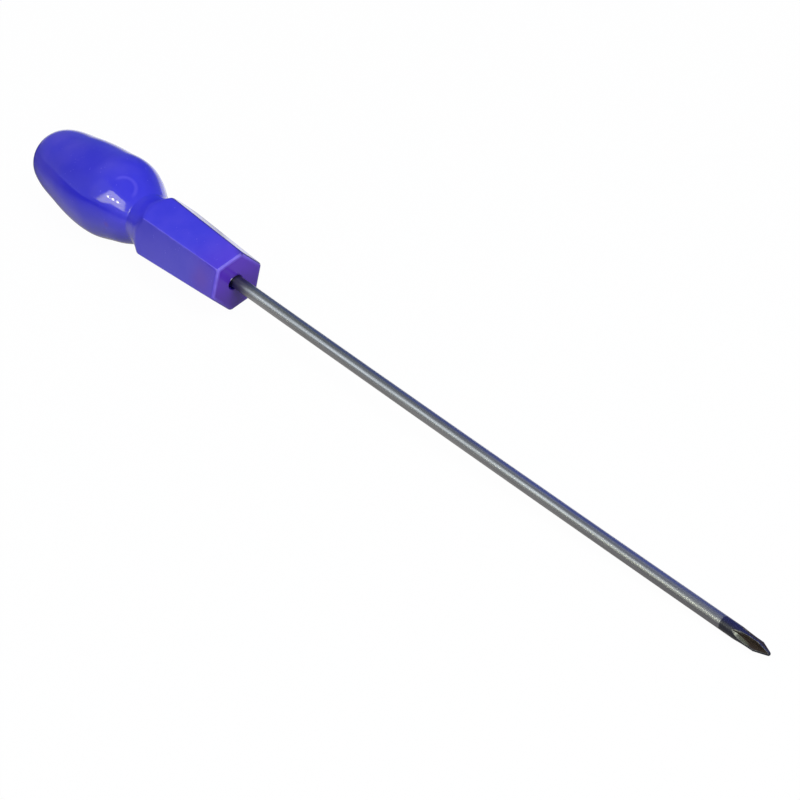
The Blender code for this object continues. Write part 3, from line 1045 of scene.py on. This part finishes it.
# The soft light above, and the strip along the blade
SKY_AIM = (0.62, -0.1, 0.78)
SKY_SIZE = (0.8, 0.8)
SKY_DISTANCE = 1.3
STRIP_TARGET = 115 * MM
STRIP_AIM = (-0.67, -0.55, 0.49)
STRIP_SIZE = (1.3, 1.5)
STRIP_DISTANCE = 2.0
STRIP_COLOUR = (0.91, 0.98, 1.02)
STRIP_FADE = (0.05, 0.5, 1.0, 0.0)
STRIP_SIDE_FADE = (0.05, 0.4, 1.0, 0.66)
NEAREST_SEEN = 10 * MM


def floor_material(stage):
    """A pale floor that looks white from the camera and keeps a soft shadow. Glossy surfaces mirror it as
    paper with a painted pool of light beside the neck, duller to both ends, a painted shadow under the tool,
    and painted brightness behind it."""
    material = bpy.data.materials.new("floor_paper")
    material.use_nodes = True
    material.node_tree.nodes.clear()
    nodes = Nodes(material.node_tree)
    position = nodes.split(nodes.add("ShaderNodeTexCoord").outputs["Object"])
    x, y = position["X"], position["Y"]
    # Painted pool of light in the floor's gloss, duller to both ends
    painted_pool = nodes.minus(nodes.ramp(x, *PAINTED_POOL_REAR), nodes.ramp(x, *PAINTED_POOL_FRONT))
    painted_pool = nodes.times(painted_pool, nodes.ramp(y, *PAINTED_POOL_NEAR))
    # Painted shadow under the tool in the floor's gloss
    under = nodes.times(nodes.ramp(y, *PAINTED_SHADOW_SIDE), nodes.ramp(x, *PAINTED_SHADOW_END))
    painted_pool = nodes.times(painted_pool, nodes.minus(1.0, under))
    # Painted brightness behind the tool in the floor's gloss
    behind = nodes.times(nodes.ramp(y, *BEHIND), nodes.ramp(x, *BEHIND_END))
    painted_pool = nodes.larger(painted_pool, behind)

    rays = nodes.add("ShaderNodeLightPath").outputs
    seen = rays["Is Camera Ray"]
    mirrored = nodes.larger(rays["Is Glossy Ray"], rays["Is Transmission Ray"])
    strength = nodes.larger(nodes.times(seen, SEEN_WHITE), nodes.times(mirrored, painted_pool))
    neutral = nodes.larger(seen, nodes.ramp(y, *NEUTRAL_BEHIND))
    tint = nodes.blend(neutral, FLOOR_TINT, WHITE)
    paper = nodes.add("ShaderNodeBsdfDiffuse", {"Color": opaque(stage.floor_colour)})
    glow = nodes.add("ShaderNodeEmission", {"Color": tint, "Strength": strength})
    share = nodes.times(nodes.larger(seen, mirrored), GLOW_SHARE)
    nodes.show("ShaderNodeOutputMaterial", share, paper, glow)
    return material


def add_floor(stage):
    """Lays the floor under the tool."""
    bpy.ops.object.select_all(action="DESELECT")
    bpy.ops.mesh.primitive_plane_add(size=stage.floor_size, location=(0, 0, 0))
    floor = bpy.context.object
    floor.name = "floor"
    floor.data.materials.append(floor_material(stage))


def set_world():
    """A plain room: white behind the object, softly graded light elsewhere."""
    world = bpy.data.worlds.new("studio")
    world.use_nodes = True
    world.node_tree.nodes.clear()
    nodes = Nodes(world.node_tree)
    direction = nodes.add("ShaderNodeTexCoord").outputs["Generated"]
    room = ROOM_COLOUR
    for side, start, full, colour in ROOM_SIDES:
        towards = nodes.vector_math("DOT_PRODUCT", direction, Vector(side).normalized())
        room = nodes.blend(nodes.ramp(towards, start, full), room, colour)
    lit = nodes.add("ShaderNodeBackground", {"Color": room, "Strength": 1.0})
    white = nodes.add("ShaderNodeBackground", {"Color": WHITE, "Strength": 1.0})
    seen = nodes.add("ShaderNodeLightPath").outputs["Is Camera Ray"]
    nodes.show("ShaderNodeOutputWorld", seen, lit, white)
    bpy.context.scene.world = world


def add_panel(name, target, aim, size, distance, strength, glow, colour=(1, 1, 1)):
    """A soft panel that shines on the target from the direction aim, its width along the tool."""
    light = bpy.data.lights.new(name, "AREA")
    light.shape = "RECTANGLE"
    light.size, light.size_y = size
    light.energy = strength * math.pi * light.size * light.size_y
    light.color = colour
    light.use_nodes = True
    nodes = Nodes(light.node_tree)
    across = nodes.add("ShaderNodeNewGeometry").outputs["Parametric"]
    nodes.feed(light.node_tree.nodes["Emission"].inputs["Strength"], glow(nodes, across))
    lamp = bpy.data.objects.new(name, light)
    bpy.context.scene.collection.objects.link(lamp)
    aim = Vector(aim).normalized()
    up = aim.cross(AXIS).normalized()
    matrix = Matrix((up.cross(aim), up, aim)).transposed().to_4x4()
    matrix.translation = target + aim * distance
    lamp.matrix_world = matrix
    return lamp


def light_only(lamp, piece):
    """Lets the lamp shine on one piece alone."""
    lit = bpy.data.collections.new("lit_by_" + lamp.name)
    lit.objects.link(bpy.data.objects[piece])
    lamp.light_linking.receiver_collection = lit


def even(nodes, across):
    """The same all over."""
    return 1.0


def leaning_window(nodes, across):
    """A glowing part with a row of brighter spots. Its left side leans, and towards it the top and the
    bottom run down."""
    position = nodes.split(across)
    x = nodes.times(nodes.minus(position["X"], 0.5), WINDOW_SIZE[0])
    y = nodes.times(nodes.minus(position["Y"], 0.5), WINDOW_SIZE[1])
    run_down = nodes.smaller(x, 0.0)
    left = nodes.minus(nodes.minus(x, nodes.times(y, WINDOW_LEFT_LEAN)), WINDOW_LEFT)
    right = nodes.minus(WINDOW_RIGHT, x)
    top = nodes.minus(nodes.plus(nodes.times(run_down, WINDOW_TOP_LEAN), WINDOW_TOP), y)
    bottom = nodes.minus(nodes.minus(y, WINDOW_BOTTOM), nodes.times(run_down, WINDOW_BOTTOM_LEAN))
    inside = nodes.smaller(nodes.smaller(left, right), nodes.smaller(top, bottom))
    glow = WINDOW_GLOW
    for (spot_x, spot_y), gain in WINDOW_SPOTS:
        off_x = nodes.math("POWER", nodes.times(nodes.minus(x, spot_x), SPOT_SQUEEZE), 2.0)
        off_y = nodes.math("POWER", nodes.minus(y, spot_y), 2.0)
        off_spot = nodes.math("SQRT", nodes.plus(off_x, off_y))
        glow = nodes.plus(glow, nodes.ramp(off_spot, SPOT_CORE, SPOT_REACH, gain, 0.0))
    return nodes.larger(nodes.times(glow, nodes.ramp(inside, 0.0, WINDOW_BLUR)), WINDOW_FRAME_GLOW)


def faded(nodes, across):
    """Full in the middle, fading out above and below, and a little to the sides."""
    position = nodes.split(across)
    above = nodes.ramp(nodes.off(position["Y"], 0.5), *STRIP_FADE)
    beside = nodes.ramp(nodes.off(position["X"], 0.5), *STRIP_SIDE_FADE)
    return nodes.times(above, beside)


def add_lights(stage):
    """A window that the bulb's shoulder mirrors, the same window for the blade in a paler colour, a soft
    light above, and a strip along the blade."""
    to_camera = Vector(stage.camera_offset).normalized()
    out = (to_camera - AXIS * to_camera.dot(AXIS)).normalized()
    above = AXIS.cross(out)
    window_aim = out * math.cos(WINDOW_RISE) + above * math.sin(WINDOW_RISE) - AXIS * WINDOW_BACK
    window_place = (on_axis(WINDOW_TARGET), window_aim, WINDOW_SIZE, WINDOW_DISTANCE)
    strip_place = (on_axis(STRIP_TARGET), STRIP_AIM, STRIP_SIZE, STRIP_DISTANCE)
    sky_place = (on_axis(0), SKY_AIM, SKY_SIZE, SKY_DISTANCE)
    window = add_panel("window", *window_place, stage.window_strength, leaning_window, WINDOW_COLOUR)
    pane = add_panel("pane", *window_place, stage.pane_strength, leaning_window, PANE_COLOUR)
    add_panel("sky", *sky_place, stage.sky_strength, even)
    strip = add_panel("strip", *strip_place, stage.strip_strength, faded, STRIP_COLOUR)
    light_only(window, HANDLE_PIECE)
    light_only(pane, BLADE_PIECE)
    light_only(strip, BLADE_PIECE)


def add_camera(stage):
    """Sets the camera where the photograph was taken from."""
    camera = bpy.data.cameras.new("camera")
    camera.lens = stage.lens
    camera.clip_start = NEAREST_SEEN
    obj = bpy.data.objects.new("camera", camera)
    obj.location = POSE.translation + Vector(stage.camera_offset)
    obj.rotation_euler = (math.pi / 2 - stage.camera_elevation, 0, stage.camera_azimuth + math.pi / 2)
    bpy.context.scene.collection.objects.link(obj)
    bpy.context.scene.camera = obj


# Add-on


class SCREWDRIVER_OT_handle(Operator):
    """Turn the handle, press the flats of its neck and finish it in plastic"""

    bl_idname = "screwdriver.handle"
    bl_label = "Make the handle"
    bl_options = {"REGISTER", "UNDO"}

    def execute(self, context):
        handle = context.scene.screwdriver_handle
        obj = spin_outline(HANDLE_PIECE, handle_outline(handle), HANDLE_STEPS)
        press_neck(obj.data, handle)
        finish_piece(obj, "handle", handle_plastic(handle), HANDLE_SHARP)
        return {"FINISHED"}


class SCREWDRIVER_OT_blade(Operator):
    """Turn the blade, mill its cross tip and finish it in steel"""

    bl_idname = "screwdriver.blade"
    bl_label = "Make the blade"
    bl_options = {"REGISTER", "UNDO"}

    def execute(self, context):
        blade = context.scene.screwdriver_blade
        obj = spin_outline(BLADE_PIECE, blade_outline(blade), BLADE_STEPS)
        mill_flutes(obj.data, blade)
        finish_piece(obj, "blade", blade_steel(blade), BLADE_SHARP)
        return {"FINISHED"}


class SCREWDRIVER_OT_stage(Operator):
    """Set the floor, the light and the camera"""

    bl_idname = "screwdriver.stage"
    bl_label = "Set the stage"
    bl_options = {"REGISTER", "UNDO"}

    def execute(self, context):
        stage = context.scene.screwdriver_stage
        for piece in (HANDLE_PIECE, BLADE_PIECE):
            if piece not in bpy.data.objects:
                raise RuntimeError(f"{piece} has to be made before it is lit")
        add_floor(stage)
        set_world()
        add_lights(stage)
        add_camera(stage)
        context.scene.view_settings.view_transform = "Standard"
        return {"FINISHED"}


class SCREWDRIVER_PT_panel(Panel):
    """Settings and steps of the screwdriver"""

    bl_idname = "SCREWDRIVER_PT_panel"
    bl_label = "Cross-head screwdriver"
    bl_space_type = "VIEW_3D"
    bl_region_type = "UI"
    bl_category = "Screwdriver"

    def draw(self, context):
        for operator, group in STEPS:
            box = self.layout.box()
            settings = getattr(context.scene, group)
            for name in settings.__annotations__:
                box.prop(settings, name)
            box.operator(operator.bl_idname)


STEPS = (
    (SCREWDRIVER_OT_handle, "screwdriver_handle"),
    (SCREWDRIVER_OT_blade, "screwdriver_blade"),
    (SCREWDRIVER_OT_stage, "screwdriver_stage"),
)
GROUPS = {
    "screwdriver_handle": HandleSettings,
    "screwdriver_blade": BladeSettings,
    "screwdriver_stage": StageSettings,
}
CLASSES = (*GROUPS.values(), *(operator for operator, _ in STEPS), SCREWDRIVER_PT_panel)


def register():
    for cls in CLASSES:
        bpy.utils.register_class(cls)
    for name, cls in GROUPS.items():
        setattr(bpy.types.Scene, name, PointerProperty(type=cls))


def unregister():
    for name in GROUPS:
        delattr(bpy.types.Scene, name)
    for cls in reversed(CLASSES):
        bpy.utils.unregister_class(cls)


def main():
    register()
    bpy.ops.screwdriver.handle()
    bpy.ops.screwdriver.blade()
    bpy.ops.screwdriver.stage()


if __name__ == "__main__":
    main()
